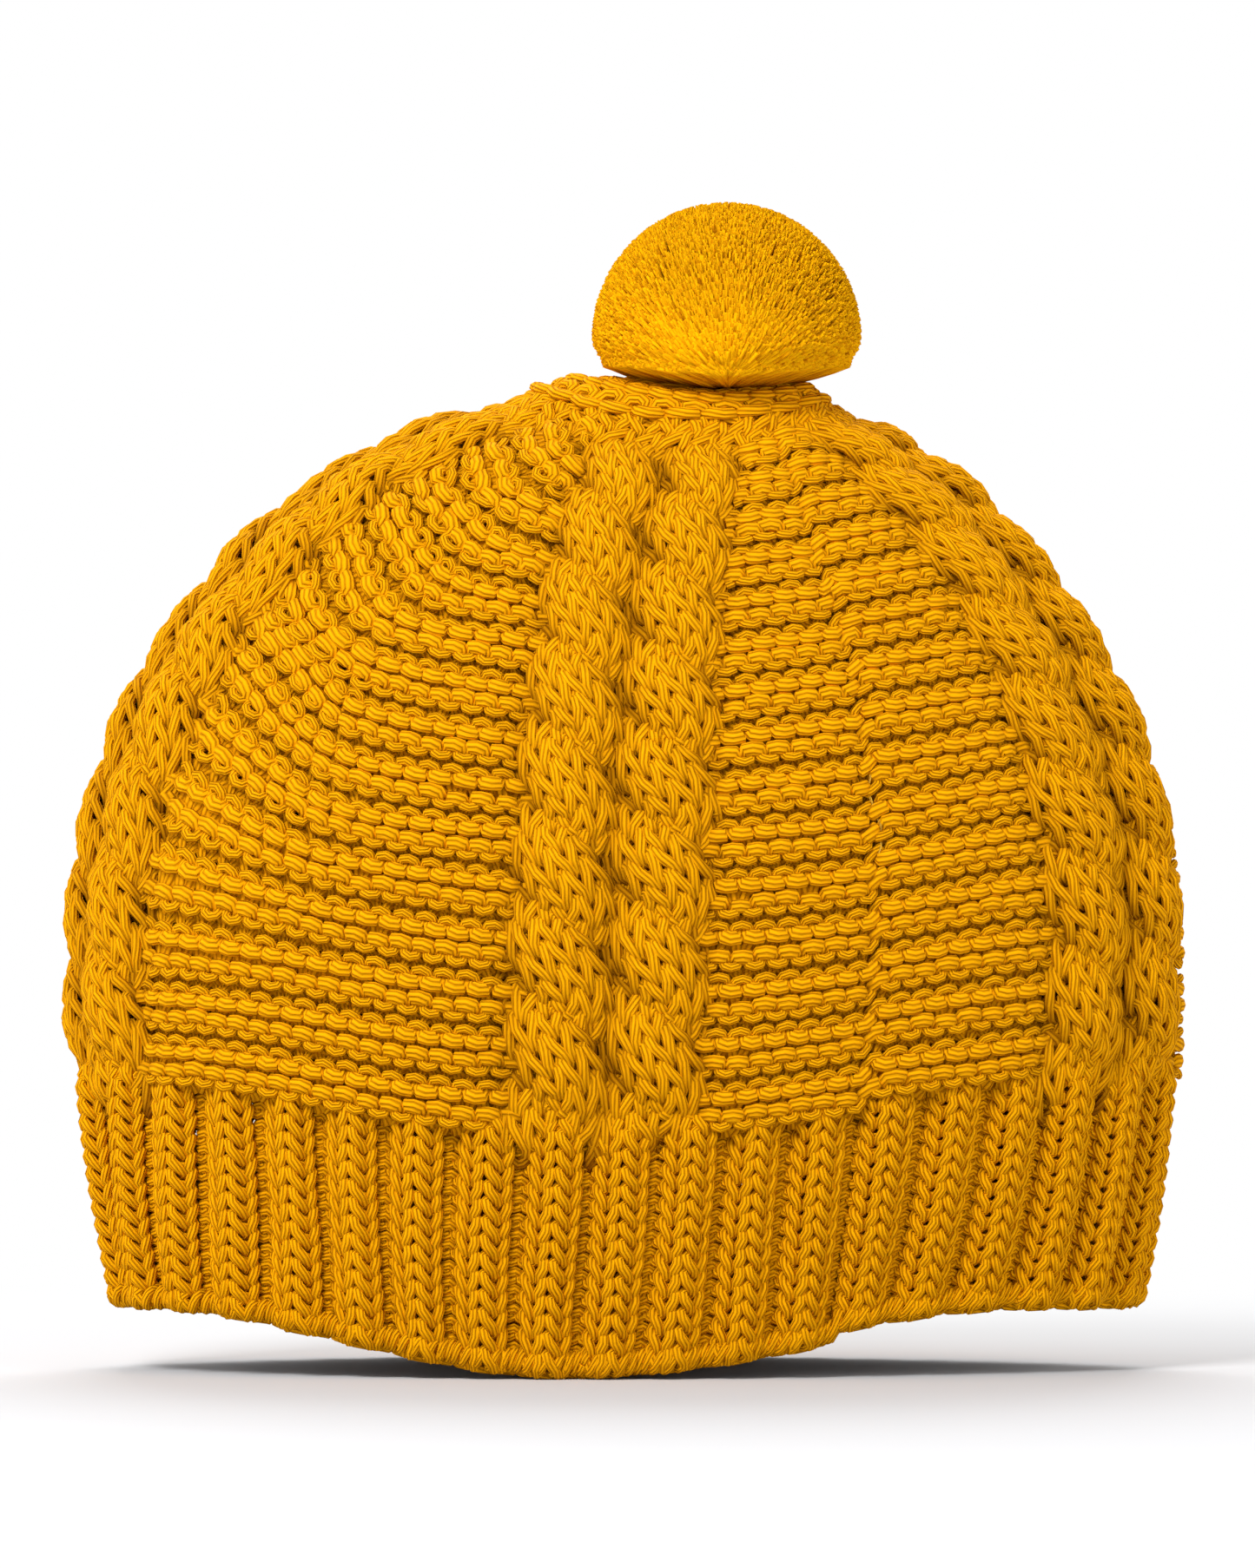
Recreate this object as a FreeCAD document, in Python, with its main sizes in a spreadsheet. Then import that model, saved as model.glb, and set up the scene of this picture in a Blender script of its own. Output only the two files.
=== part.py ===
import FreeCAD, Part
import functools
import math
import os

# A knit beanie with a pompom, in millimetres, +Z up.
#
# The hat stands as a head holds it: the origin is the middle of the head opening, -Y is the
# front and +X is to the right of someone who faces the front. The fabric follows one smooth
# surface, addressed by a row (0 at the cast-on edge, 1 at the apex) and an angle round the head
# (0 at the front centre, growing towards +X). Each section of the knitting is a closed solid
# between two offsets of that surface. The hat leans a little: its apex is off to +X.

DIMENSIONS = {
    # the surface, at the middle of the fabric's thickness
    "half_width": 106.0,
    "half_depth": 47.0,
    "opening_narrowing": 10.5,
    "widest_height": 80.0,
    "crown_height": 191.0,
    "edge_lift": 12.0,
    "lean": 22.0,
    "lean_slope": 0.07,
    "front_shift": 8.0,
    "front_advance": 0.057,
    # how the fabric is divided: rows as fractions of the height, panels as shares of a row
    "edge_row": 0.012,
    "brim_row": 0.202,
    "ring_row": 0.845,
    "hole_row": 0.98,
    "cable_width": 19.6,
    "cable_top_width": 15.5,
    "cable_taper_row": 0.5,
    "front_right_share": 0.195,
    "front_left_share": 0.215,
    "section_gap": 0.1,
    # thicknesses
    "edge_thickness": 6.0,
    "brim_thickness": 5.2,
    "panel_thickness": 5.6,
    "cable_rise": 5.5,
    "cable_depth": 2.8,
    "ring_thickness": 5.2,
    # the seam allowance inside the front right panel
    "seam_share": 0.48,
    "seam_width": 5.0,
    "seam_thickness": 2.2,
    "seam_end_row": 0.8,
    # the crown's closing and the pompom
    "yarn_radius": 1.1,
    "drawstring_ring": 2.0,
    "drawstring_radius": 0.7,
    "pivot_height": 196.0,
    "bead_radius": 2.2,
    "pivot_clearance": 0.4,
    "knot_radius": 3.0,
    "knot_height": 182.0,
    "neck_length": 6.0,
    "pompom_radius": 26.5,
    "pompom_rise": 5.9,
    "pompom_underside": 3.0,
    "pompom_bore_radius": 3.3,
    "pompom_bore_length": 12.0,
    "binding_ring": 2.0,
    "binding_radius": 0.9,
    "binding_rise": 9.5,
}

BRIM_FLATNESS = 3.0
TABLE_STEPS = 360
OUTLINE_STEPS = 40
PIECES_FOLDER = "parts"

document = FreeCAD.newDocument("knit_beanie")
sheet = document.addObject("Spreadsheet::Sheet", "Dimensions")
for line, (alias, value) in enumerate(DIMENSIONS.items(), start=1):
    sheet.set(f"A{line}", alias.replace("_", " "))
    sheet.set(f"B{line}", str(value))
    sheet.setAlias(f"B{line}", alias)
document.recompute()


def size(alias):
    """A driving dimension, read from the sheet."""
    return float(sheet.get(alias))


# ---------------------------------------------------------------- the surface of the hat


def quarter_outline(radius):
    """A meridian from the opening to the apex: distances out and up, evenly spaced along it."""
    rise = size("crown_height") - size("widest_height")
    straight = size("widest_height")
    points = []
    for step in range(OUTLINE_STEPS):
        height = straight * step / OUTLINE_STEPS
        narrowing = size("opening_narrowing") * radius / size("half_width")
        points.append((radius - narrowing * (1 - height / straight) ** 2, height))
    for step in range(3 * OUTLINE_STEPS + 1):
        turn = 0.5 * math.pi * step / (3 * OUTLINE_STEPS)
        points.append((radius * math.cos(turn), straight + rise * math.sin(turn)))
    return points


def spaced(points, fraction):
    """The point at a fraction of a polyline's length."""
    steps = [math.dist(a, b) for a, b in zip(points, points[1:])]
    wanted = min(max(fraction, 0.0), 1.0) * sum(steps)
    for (start, end), step in zip(zip(points, points[1:]), steps):
        if wanted <= step:
            return [a + (b - a) * wanted / step for a, b in zip(start, end)]
        wanted -= step
    return list(points[-1])


@functools.lru_cache(maxsize=None)
def row_sizes(row):
    """A row's half width and half depth, and its heights at the sides and at the front.

    The front runs ahead of the sides half way up, so that the rows lie nearly level there.
    """
    side = quarter_outline(size("half_width"))
    lifted = [point for point in side if point[1] >= size("edge_lift")]
    half_width, side_height = spaced(lifted, row)
    front_row = row + size("front_advance") * 4 * row * (1 - row)
    half_depth, front_height = spaced(quarter_outline(size("half_depth")), front_row)
    return half_width, half_depth, side_height, front_height


@functools.lru_cache(maxsize=None)
def surface_point(row, angle):
    """A point of the fabric's middle surface."""
    half_width, half_depth, side_height, front_height = row_sizes(row)
    across, along = math.sin(angle), math.cos(angle)
    flatness = 1 + (BRIM_FLATNESS - 1) * max(0.0, 1 - row / 0.6)
    sideness = 1 - (along * along) ** flatness
    shift = -size("front_shift") * (1 - row) ** 2 * along * along
    x = size("lean") * row**6 + shift + half_width * across
    z = front_height + (side_height - front_height) * sideness
    return x, -half_depth * along, z - size("lean_slope") * half_width * across * row**6


def surface_normal(row, angle):
    """The outward direction of the fabric."""
    step = 1e-3
    low_row = min(row, 1 - 2 * step)
    here = FreeCAD.Vector(*surface_point(low_row, angle))
    up = FreeCAD.Vector(*surface_point(low_row + step, angle)) - here
    round_ = FreeCAD.Vector(*surface_point(low_row, angle + step)) - here
    return round_.cross(up).normalize()


@functools.lru_cache(maxsize=None)
def row_lengths(row):
    """Running length of the fabric along a row, from the front centre all the way round."""
    lengths = [0.0]
    for step in range(TABLE_STEPS):
        start = surface_point(row, 2 * math.pi * step / TABLE_STEPS)
        end = surface_point(row, 2 * math.pi * (step + 1) / TABLE_STEPS)
        lengths.append(lengths[-1] + math.dist(start, end))
    return lengths


def angle_at(row, length):
    """The angle at a length of fabric from the front centre."""
    lengths = row_lengths(row)
    turns, rest = divmod(length, lengths[-1])
    step = next(i for i in range(TABLE_STEPS) if lengths[i + 1] >= rest)
    part = (rest - lengths[step]) / (lengths[step + 1] - lengths[step])
    return 2 * math.pi * (turns + (step + part) / TABLE_STEPS)


def section_edges(row):
    """Where the stitch changes along a row: lengths from the front centre, growing towards +X."""
    taper = max(0.0, row - size("cable_taper_row")) / (size("ring_row") - size("cable_taper_row"))
    cable = size("cable_width") + (size("cable_top_width") - size("cable_width")) * min(taper, 1.0)
    round_ = row_lengths(row)[-1]
    plain = round_ - 8 * cable
    back_share = 0.5 * (1 - size("front_right_share") - size("front_left_share"))
    right = cable + plain * size("front_right_share")
    left = round_ - cable - plain * size("front_left_share")
    back = right + 2 * cable + plain * back_share
    return {
        "front_cable_left": (-cable, 0.0),
        "front_cable_right": (0.0, cable),
        "front_right_panel": (cable, right),
        "right_cable_front": (right, right + cable),
        "right_cable_back": (right + cable, right + 2 * cable),
        "back_right_panel": (right + 2 * cable, back),
        "back_cable_right": (back, back + cable),
        "back_cable_left": (back + cable, back + 2 * cable),
        "back_left_panel": (back + 2 * cable, left - 2 * cable),
        "left_cable_back": (left - 2 * cable, left - cable),
        "left_cable_front": (left - cable, left),
        "front_left_panel": (left, round_ - cable),
    }


# ---------------------------------------------------------------- solids of fabric


def offset_face(rows, angles, offset):
    """A smooth face at an offset from the middle surface. angles(row) gives one list per row."""
    grid = []
    for row in rows:
        line = []
        for angle in angles(row):
            point = FreeCAD.Vector(*surface_point(row, angle))
            line.append(point + surface_normal(row, angle) * offset)
        grid.append(line)
    surface = Part.BSplineSurface()
    surface.interpolate(grid)
    return surface


def between(surface, other):
    """The walls that join the four edges of a surface to those of another."""
    walls = []
    for name in ("uIso", "vIso"):
        bounds = surface.bounds()[:2] if name == "uIso" else surface.bounds()[2:]
        other_bounds = other.bounds()[:2] if name == "uIso" else other.bounds()[2:]
        for value, other_value in zip(bounds, other_bounds):
            edge = getattr(surface, name)(value).toShape()
            other_edge = getattr(other, name)(other_value).toShape()
            walls.append(Part.makeRuledSurface(edge, other_edge))
    return walls


def closed_solid(faces):
    """Sews faces into one solid with its outside out."""
    sewn = Part.makeCompound(faces)
    sewn.sewShape(1e-3)
    solid = Part.makeSolid(sewn.Shells[0] if sewn.Shells else Part.makeShell(sewn.Faces))
    if solid.Volume < 0:
        solid.reverse()
    return solid


def even(first, last, count):
    """Evenly spaced numbers, both ends included."""
    return [first + (last - first) * i / (count - 1) for i in range(count)]


def add_fabric(label, shape):
    """Puts a finished fabric solid in the document under its own name."""
    feature = document.addObject("Part::Feature", label)
    feature.Label = label
    feature.Shape = shape
    feature.Placement = FreeCAD.Placement()
    return feature


def add_section(label, rows, span, outside, inside):
    """A strip of fabric that runs up the hat. span(row) gives its two edges as lengths."""
    gap = size("section_gap")

    def angles(row):
        first, last = span(row)
        return [angle_at(row, length) for length in even(first + gap, last - gap, 9)]

    outer = offset_face(rows, angles, outside)
    inner = offset_face(rows, angles, -inside)
    faces = [outer.toShape(), inner.toShape()] + between(outer, inner)
    return add_fabric(label, closed_solid(faces))


def add_ring(label, first_row, last_row, thickness):
    """A band of fabric all the way round the hat, made as four joined quarters."""
    rows = even(first_row, last_row, 5)
    quarters = []
    for quarter in range(4):
        start = quarter * 0.5 * math.pi
        turns = even(start, start + 0.5 * math.pi, 13)
        outer = offset_face(rows, lambda row, turns=turns: turns, thickness / 2)
        inner = offset_face(rows, lambda row, turns=turns: turns, -thickness / 2)
        faces = [outer.toShape(), inner.toShape()] + between(outer, inner)
        quarters.append(closed_solid(faces))
    return add_fabric(label, quarters[0].multiFuse(quarters[1:], 1e-2))


def row_step(length):
    """A gap along the meridian as a fraction of the front meridian."""
    outline = quarter_outline(size("half_depth"))
    return length / sum(math.dist(a, b) for a, b in zip(outline, outline[1:]))


def build_fabric():
    """The knitted fabric: edge, brim, panels, cables, crown ring and the seam inside."""
    gap = row_step(size("section_gap"))
    add_ring("cast_on_edge", 0.0, size("edge_row"), size("edge_thickness"))
    brim_start = size("edge_row") + gap
    add_ring("ribbed_brim", brim_start, size("brim_row"), size("brim_thickness"))
    add_ring("crown_ring", size("ring_row") + gap, size("hole_row"), size("ring_thickness"))
    rows = even(size("brim_row") + gap, size("ring_row"), 11)
    half_panel = size("panel_thickness") / 2
    for label in section_edges(size("brim_row")):
        is_cable = "cable" in label
        outside = size("cable_rise") if is_cable else half_panel
        inside = size("cable_depth") if is_cable else half_panel
        add_section(label, rows, lambda row, label=label: section_edges(row)[label], outside, inside)
    build_seam(half_panel)


def build_seam(half_panel):
    """The seam allowance: the two sewn edges, a ridge on the inside of the front right panel."""

    def seam_span(row):
        start, end = section_edges(row)["front_right_panel"]
        middle = start + (end - start) * size("seam_share")
        return middle - size("seam_width") / 2, middle + size("seam_width") / 2

    rows = even(size("brim_row") + 0.01, size("seam_end_row"), 9)
    inner_side = half_panel + size("section_gap")
    add_section("side_seam", rows, seam_span, -inner_side, inner_side + size("seam_thickness"))


# ---------------------------------------------------------------- yarn pieces and the pompom


def add_primitive(kind, name, sizes, height):
    """A Part primitive on the pompom's axis, its sizes bound to the sheet's expressions."""
    piece = document.addObject(kind, name)
    for key, expression in sizes.items():
        piece.setExpression(key, expression)
    piece.setExpression("Placement.Base.x", "Dimensions.lean * Dimensions.hole_row ^ 6 * 1mm")
    piece.setExpression("Placement.Base.z", f"({height}) * 1mm")
    return piece


def add_cylinder(name, radius, length, height):
    """An upright cylinder on the pompom's axis."""
    sizes = {"Radius": f"({radius}) * 1mm", "Height": f"({length}) * 1mm"}
    return add_primitive("Part::Cylinder", name, sizes, height)


def add_sphere(name, radius, height):
    """A sphere on the pompom's axis."""
    return add_primitive("Part::Sphere", name, {"Radius": f"({radius}) * 1mm"}, height)


def add_loop(name, ring, yarn, height):
    """A loop of yarn that lies flat round the pompom's axis."""
    sizes = {"Radius1": f"({ring}) * 1mm", "Radius2": f"({yarn}) * 1mm"}
    return add_primitive("Part::Torus", name, sizes, height)


def add_cut(label, base, tool):
    """base less tool, as one named piece."""
    cut = document.addObject("Part::Cut", label)
    cut.Base = base
    cut.Tool = tool
    return cut


def build_closing():
    """The drawstring in the crown's hole, and the anchor yarn with its knot underneath."""
    d = "Dimensions."
    hole_height = f"{d}crown_height - 0.5"
    add_loop("drawstring", d + "drawstring_ring", d + "drawstring_radius", hole_height)
    add_sphere("anchor_knot", d + "knot_radius", d + "knot_height")
    start = f"{d}knot_height + {d}knot_radius"
    end = f"{d}pivot_height - {d}bead_radius - {d}pivot_clearance"
    add_cylinder("anchor_yarn", d + "yarn_radius", f"{end} - ({start})", start)


def build_pompom():
    """The neck on its bead, the pile with its bore, and the binding inside the bore."""
    d = "Dimensions."
    pivot = d + "pivot_height"
    bead = add_sphere("neck_bead", d + "bead_radius", pivot)
    stem = add_cylinder("neck_stem", d + "yarn_radius", d + "neck_length", pivot)
    neck = document.addObject("Part::Fuse", "pompom_neck")
    neck.Base = bead
    neck.Tool = stem
    ball = add_sphere("pile_ball", d + "pompom_radius", f"{pivot} + {d}pompom_rise")
    under = add_cylinder(
        "pile_under", f"2 * {d}pompom_radius", f"2 * {d}pompom_radius",
        f"{pivot} + {d}pompom_underside - 2 * {d}pompom_radius",
    )
    bore = add_cylinder("pile_bore", d + "pompom_bore_radius", d + "pompom_bore_length", pivot)
    add_cut("pompom_pile", add_cut("flat_pile", ball, under), bore)
    add_loop(
        "pompom_binding", d + "binding_ring", d + "binding_radius",
        f"{pivot} + {d}binding_rise",
    )


# ---------------------------------------------------------------- checks and files

HIDDEN_STEPS = {"neck_bead", "neck_stem", "pile_ball", "pile_under", "pile_bore", "flat_pile"}


def finished_pieces():
    """Every named piece of the hat: the objects that have a shape, without the steps to them."""
    shaped = [item for item in document.Objects if hasattr(item, "Shape")]
    return [item for item in shaped if item.Name not in HIDDEN_STEPS]


def check_document():
    """Stops if anything failed to recompute or a piece has no valid shape."""
    for item in document.Objects:
        if "Invalid" in item.State or "Error" in item.State:
            raise RuntimeError(f"{item.Label} did not recompute: {item.State}")
    for piece in finished_pieces():
        shape = piece.Shape
        if shape.isNull() or not shape.isValid() or not shape.Solids:
            raise RuntimeError(f"{piece.Label} has no valid solid")


def export_pieces():
    """Writes each piece to its own STEP file."""
    os.makedirs(PIECES_FOLDER, exist_ok=True)
    for piece in finished_pieces():
        piece.Shape.exportStep(f"{PIECES_FOLDER}/{piece.Label}.step")
        print(f"{piece.Label}: {piece.Shape.Volume / 1000:.2f} cm3, {len(piece.Shape.Solids)} solid")


build_fabric()
build_closing()
build_pompom()
document.recompute()
check_document()
export_pieces()
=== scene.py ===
import math

import bpy
import numpy as np
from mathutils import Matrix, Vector


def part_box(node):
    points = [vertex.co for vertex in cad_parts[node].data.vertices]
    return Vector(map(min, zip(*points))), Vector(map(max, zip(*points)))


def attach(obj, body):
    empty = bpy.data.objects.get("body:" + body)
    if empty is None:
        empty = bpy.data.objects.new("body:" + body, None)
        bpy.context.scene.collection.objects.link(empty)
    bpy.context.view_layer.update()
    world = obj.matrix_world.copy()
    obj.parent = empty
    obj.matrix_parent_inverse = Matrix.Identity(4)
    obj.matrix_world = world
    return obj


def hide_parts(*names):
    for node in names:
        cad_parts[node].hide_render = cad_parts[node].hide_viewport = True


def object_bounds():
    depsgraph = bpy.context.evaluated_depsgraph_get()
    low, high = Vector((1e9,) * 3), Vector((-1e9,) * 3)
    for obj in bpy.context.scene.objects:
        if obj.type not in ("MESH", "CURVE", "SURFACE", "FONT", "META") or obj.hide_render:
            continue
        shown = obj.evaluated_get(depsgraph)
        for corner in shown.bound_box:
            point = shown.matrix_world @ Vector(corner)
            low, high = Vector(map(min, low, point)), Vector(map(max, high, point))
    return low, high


# A knit beanie with a pompom. Every visible section of the knitting is made of its own yarn: each
# course is a run of interlocking loops laid on the hat's surface. Work is in millimetres, in the
# frame of the CAD model, and turned into metres where a mesh is made.

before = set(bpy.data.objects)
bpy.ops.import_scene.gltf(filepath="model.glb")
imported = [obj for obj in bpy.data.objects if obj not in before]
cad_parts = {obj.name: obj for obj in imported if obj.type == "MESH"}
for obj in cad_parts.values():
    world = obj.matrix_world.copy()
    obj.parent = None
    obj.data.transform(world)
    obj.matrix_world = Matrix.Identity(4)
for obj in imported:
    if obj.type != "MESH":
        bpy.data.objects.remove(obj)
cad_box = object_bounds()

MM = 0.001
TURN = 2 * math.pi
random = np.random.default_rng(11)

# ---------------------------------------------------------------- the hat's surface, as in the CAD

HALF_WIDTH = 106.0
HALF_DEPTH = 47.0
OPENING_NARROWING = 10.5
WIDEST_HEIGHT = 80.0
CROWN_HEIGHT = 191.0
EDGE_LIFT = 12.0
LEAN = 22.0
LEAN_SLOPE = 0.07
FRONT_SHIFT = 8.0
FRONT_ADVANCE = 0.057
BRIM_FLATNESS = 3.0
BRIM_ROW = 0.202
RING_ROW = 0.845
HOLE_ROW = 0.98
CABLE_WIDTH = 19.6
CABLE_TOP_WIDTH = 15.5
CABLE_TAPER_ROW = 0.5
FRONT_RIGHT_SHARE = 0.195
FRONT_LEFT_SHARE = 0.215
SEAM_SHARE = 0.48

GRID_ROWS = 500
GRID_TURNS = 1800


def smooth(low, high, value):
    """0 below low, 1 above high, and a smooth step between them."""
    x = np.clip((value - low) / (high - low), 0, 1)
    return x * x * (3 - 2 * x)


def meridian(radius, first_height, advance):
    """Distances out and up at each row of a meridian that starts at first_height.

    The rows are evenly spaced but for the advance, by which they run ahead half way up.
    """
    low = np.linspace(first_height, WIDEST_HEIGHT, 400, endpoint=False)
    narrowing = OPENING_NARROWING * radius / HALF_WIDTH
    turn = np.linspace(0, 0.5 * math.pi, 1200)
    out = np.concatenate([radius - narrowing * (1 - low / WIDEST_HEIGHT) ** 2, radius * np.cos(turn)])
    rise = CROWN_HEIGHT - WIDEST_HEIGHT
    up = np.concatenate([low, WIDEST_HEIGHT + rise * np.sin(turn)])
    along = np.concatenate([[0], np.cumsum(np.hypot(np.diff(out), np.diff(up)))])
    row = np.linspace(0, 1, GRID_ROWS + 1)
    wanted = (row + advance * 4 * row * (1 - row)) * along[-1]
    return np.interp(wanted, along, out), np.interp(wanted, along, up), along[-1]


def surface_points(row, angle, side, front):
    """Points of the fabric's middle surface, for a column of rows and a table of angles."""
    across, along = np.sin(angle), np.cos(angle)
    flatness = 1 + (BRIM_FLATNESS - 1) * np.clip(1 - row / 0.6, 0, None)
    sideness = 1 - (along * along) ** flatness
    shift = -FRONT_SHIFT * (1 - row) ** 2 * along * along
    x = LEAN * row**6 + shift + side[0] * across
    z = front[1] + (side[1] - front[1]) * sideness - LEAN_SLOPE * side[0] * across * row**6
    return np.stack([x, -front[0] * along, z], axis=-1)


class Surface:
    """The hat's middle surface, sampled by row and by share of the way round from the front."""

    def __init__(self):
        rows = np.linspace(0, 1, GRID_ROWS + 1)[:, None]
        side_out, side_up, _ = meridian(HALF_WIDTH, EDGE_LIFT, 0)
        front_out, front_up, self.height = meridian(HALF_DEPTH, 0, FRONT_ADVANCE)
        side, front = (side_out[:, None], side_up[:, None]), (front_out[:, None], front_up[:, None])
        angles = np.linspace(0, TURN, GRID_TURNS + 1)[None, :].repeat(GRID_ROWS + 1, axis=0)
        points = surface_points(rows, angles, side, front)
        steps = np.linalg.norm(np.diff(points, axis=1), axis=2)
        lengths = np.concatenate([np.zeros((GRID_ROWS + 1, 1)), np.cumsum(steps, axis=1)], axis=1)
        self.round = lengths[:, -1]
        even = [
            np.interp(np.linspace(0, line[-1], GRID_TURNS + 1), line, angles[0]) for line in lengths
        ]
        self.points = surface_points(rows, np.array(even), side, front)
        up = np.gradient(self.points, axis=0)
        self.normals = np.cross(np.gradient(self.points, axis=1), up)
        self.normals[-1] = (0, 0, 1)
        self.normals /= np.linalg.norm(self.normals, axis=2, keepdims=True) + 1e-12

    def round_at(self, row):
        """The fabric's length all the way round, at a row."""
        return np.interp(row, np.linspace(0, 1, GRID_ROWS + 1), self.round)

    def sample(self, row, length):
        """Points and outward normals at rows and lengths from the front centre."""
        i = np.clip(row, 0, 1) * GRID_ROWS
        j = np.mod(length / self.round_at(row), 1) * GRID_TURNS
        i0 = np.minimum(i.astype(int), GRID_ROWS - 1)
        j0 = np.minimum(j.astype(int), GRID_TURNS - 1)
        a, b = (i - i0)[:, None], (j - j0)[:, None]
        blended = []
        for table in (self.points, self.normals):
            low = table[i0, j0] * (1 - b) + table[i0, j0 + 1] * b
            high = table[i0 + 1, j0] * (1 - b) + table[i0 + 1, j0 + 1] * b
            blended.append(low * (1 - a) + high * a)
        return blended


surface = Surface()


def cable_width(row):
    """How wide one cable is at a row."""
    return CABLE_WIDTH + (CABLE_TOP_WIDTH - CABLE_WIDTH) * np.clip(
        (row - CABLE_TAPER_ROW) / (RING_ROW - CABLE_TAPER_ROW), 0, 1
    )


def section_span(label, row):
    """The two edges of a section of the knitting, as lengths from the front centre."""
    cable = cable_width(row)
    whole = surface.round_at(row)
    plain = whole - 8 * cable
    back_share = 0.5 * (1 - FRONT_RIGHT_SHARE - FRONT_LEFT_SHARE)
    right = cable + plain * FRONT_RIGHT_SHARE
    left = whole - cable - plain * FRONT_LEFT_SHARE
    back = right + 2 * cable + plain * back_share
    return {
        "front_cable_left": (-cable, 0 * cable),
        "front_cable_right": (0 * cable, cable),
        "front_right_panel": (cable, right),
        "right_cable_front": (right, right + cable),
        "right_cable_back": (right + cable, right + 2 * cable),
        "back_right_panel": (right + 2 * cable, back),
        "back_cable_right": (back, back + cable),
        "back_cable_left": (back + cable, back + 2 * cable),
        "back_left_panel": (back + 2 * cable, left - 2 * cable),
        "left_cable_back": (left - 2 * cable, left - cable),
        "left_cable_front": (left - cable, left),
        "front_left_panel": (left, whole - cable),
    }[label]


def unevenness(row, length, scale):
    """A slow, hand-made waviness over the fabric, between about -1 and 1."""
    a = length / scale
    b = row * surface.height / scale
    wave = np.sin(1.3 * a + 2.1 * np.sin(0.7 * b)) + np.sin(0.9 * b + 1.7 * np.sin(0.8 * a + 1))
    return 0.5 * wave + 0.35 * np.sin(2.3 * a - 1.9 * b + 0.5)


# ---------------------------------------------------------------- loops of yarn

SEGMENTS = 14
SIDES = 8


def loops(first, count, course, sign, gauge):
    """The path of one course of loops in stitch units: across, up and a depth in millimetres.

    sign(columns, course) says which face each loop shows: 1 for knit, -1 for purl.
    """
    turn = np.linspace(0, TURN * count, SEGMENTS * count + 1)
    index = np.minimum((turn / TURN).astype(int), count - 1)
    local = turn - TURN * index
    columns = np.arange(first - 1, first + count + 1)
    own = sign(columns, course).astype(float)
    above = sign(columns, course + 1).astype(float)
    here = index + 1
    from_left = 1 - smooth(0, 0.9, local)
    from_right = 1 - smooth(0, 0.9, TURN - local)
    low = own[here] + 0.5 * from_left * (own[here - 1] - own[here])
    low += 0.5 * from_right * (own[here + 1] - own[here])
    high = smooth(0.3, 0.7, 0.5 - 0.5 * np.cos(local))
    side = low * (1 - high) + above[here] * high
    loose = 1 + 0.07 * random.standard_normal(count)[index] * np.sin(local / 2)
    across = first + turn / TURN + gauge["lean"] * np.sin(2 * local) * loose
    across += gauge["bias"] * np.cos(local) * 0.5
    rise = np.cos(local) - gauge["flatness"] * np.cos(3 * local)
    up = course + 0.5 - gauge["overlap"] * rise * loose
    wave = np.cos(2 * local)
    depth = -gauge["depth"] * side * (1.5 * wave - 0.5 * wave**3 + gauge["tuck"] * np.cos(local))
    return across, up, depth


def tube_rings(points, outward, radii, sides):
    """Rings of vertices round a path. The radii are across and along the outward direction, each
    one number or one for every point."""
    tangent = np.gradient(points, axis=0)
    tangent /= np.linalg.norm(tangent, axis=1, keepdims=True)
    aside = np.cross(tangent, outward)
    aside /= np.linalg.norm(aside, axis=1, keepdims=True) + 1e-12
    out = np.cross(aside, tangent)
    turn = np.linspace(0, TURN, sides, endpoint=False)
    across, along = (np.broadcast_to(radius, len(points))[:, None, None] for radius in radii)
    rings = points[:, None, :] + across * np.cos(turn)[None, :, None] * aside[:, None, :]
    return rings + along * np.sin(turn)[None, :, None] * out[:, None, :]


def yarn_object(name, paths, material, sides=SIDES):
    """One mesh of many yarn tubes. Each path is (points, outward directions, radii, levels).

    A level says how far out of the fabric the yarn lies there, in millimetres, and sets its painted
    shade.
    """
    vertices, quads, along_uv, bake_uv, caps, levels = [], [], [], [], [], []
    base = 0
    mean_length = np.mean([len(path[0]) for path in paths])
    bays = max(1, round(math.sqrt(len(paths) * sides / mean_length)))
    lines = math.ceil(len(paths) / bays)
    for number, (points, outward, radii, level) in enumerate(paths):
        rings = tube_rings(points, outward, radii, sides)
        count = len(points)
        i = np.arange(count - 1)[:, None]
        j = np.arange(sides)[None, :]
        k = (j + 1) % sides
        quad = np.stack([i * sides + j, i * sides + k, (i + 1) * sides + k, (i + 1) * sides + j], -1)
        quads.append(quad.reshape(-1, 4) + base)
        run = np.concatenate([[0], np.cumsum(np.linalg.norm(np.diff(points, axis=0), axis=1))])
        low = np.broadcast_to(run[i], quad.shape[:2])
        high = np.broadcast_to(run[i + 1], quad.shape[:2])
        near = np.broadcast_to(j / sides, quad.shape[:2])
        far = np.broadcast_to((j + 1) / sides, quad.shape[:2])
        u = np.stack([low, low, high, high], -1)
        v = np.stack([near, far, far, near], -1)
        along_uv.append(np.stack([u + 37.0 * number, v], -1).reshape(-1, 2))
        bay, line = divmod(number, lines)
        u_bake = (bay + 0.01 + 0.98 * u / run[-1]) / bays
        v_bake = (line + 0.04 + 0.92 * v) / lines
        bake_uv.append(np.stack([u_bake, v_bake], -1).reshape(-1, 2))
        caps.append(np.arange(sides)[::-1] + base)
        caps.append(np.arange(sides) + base + (count - 1) * sides)
        vertices.append(rings.reshape(-1, 3))
        # Painted shade: the sides and underside of each tube stand lower than its crest and get more
        # painted shade.
        stand = np.sum((rings - points[:, None, :]) * outward[:, None, :], axis=2)
        levels.append((level[:, None] + stand).ravel())
        base += count * sides
    return mesh_object(
        name, np.concatenate(vertices) * MM, np.concatenate(quads), caps,
        {"Yarn": np.concatenate(along_uv), "OFBake": np.concatenate(bake_uv)},
        np.concatenate(levels), material,
    )


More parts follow.
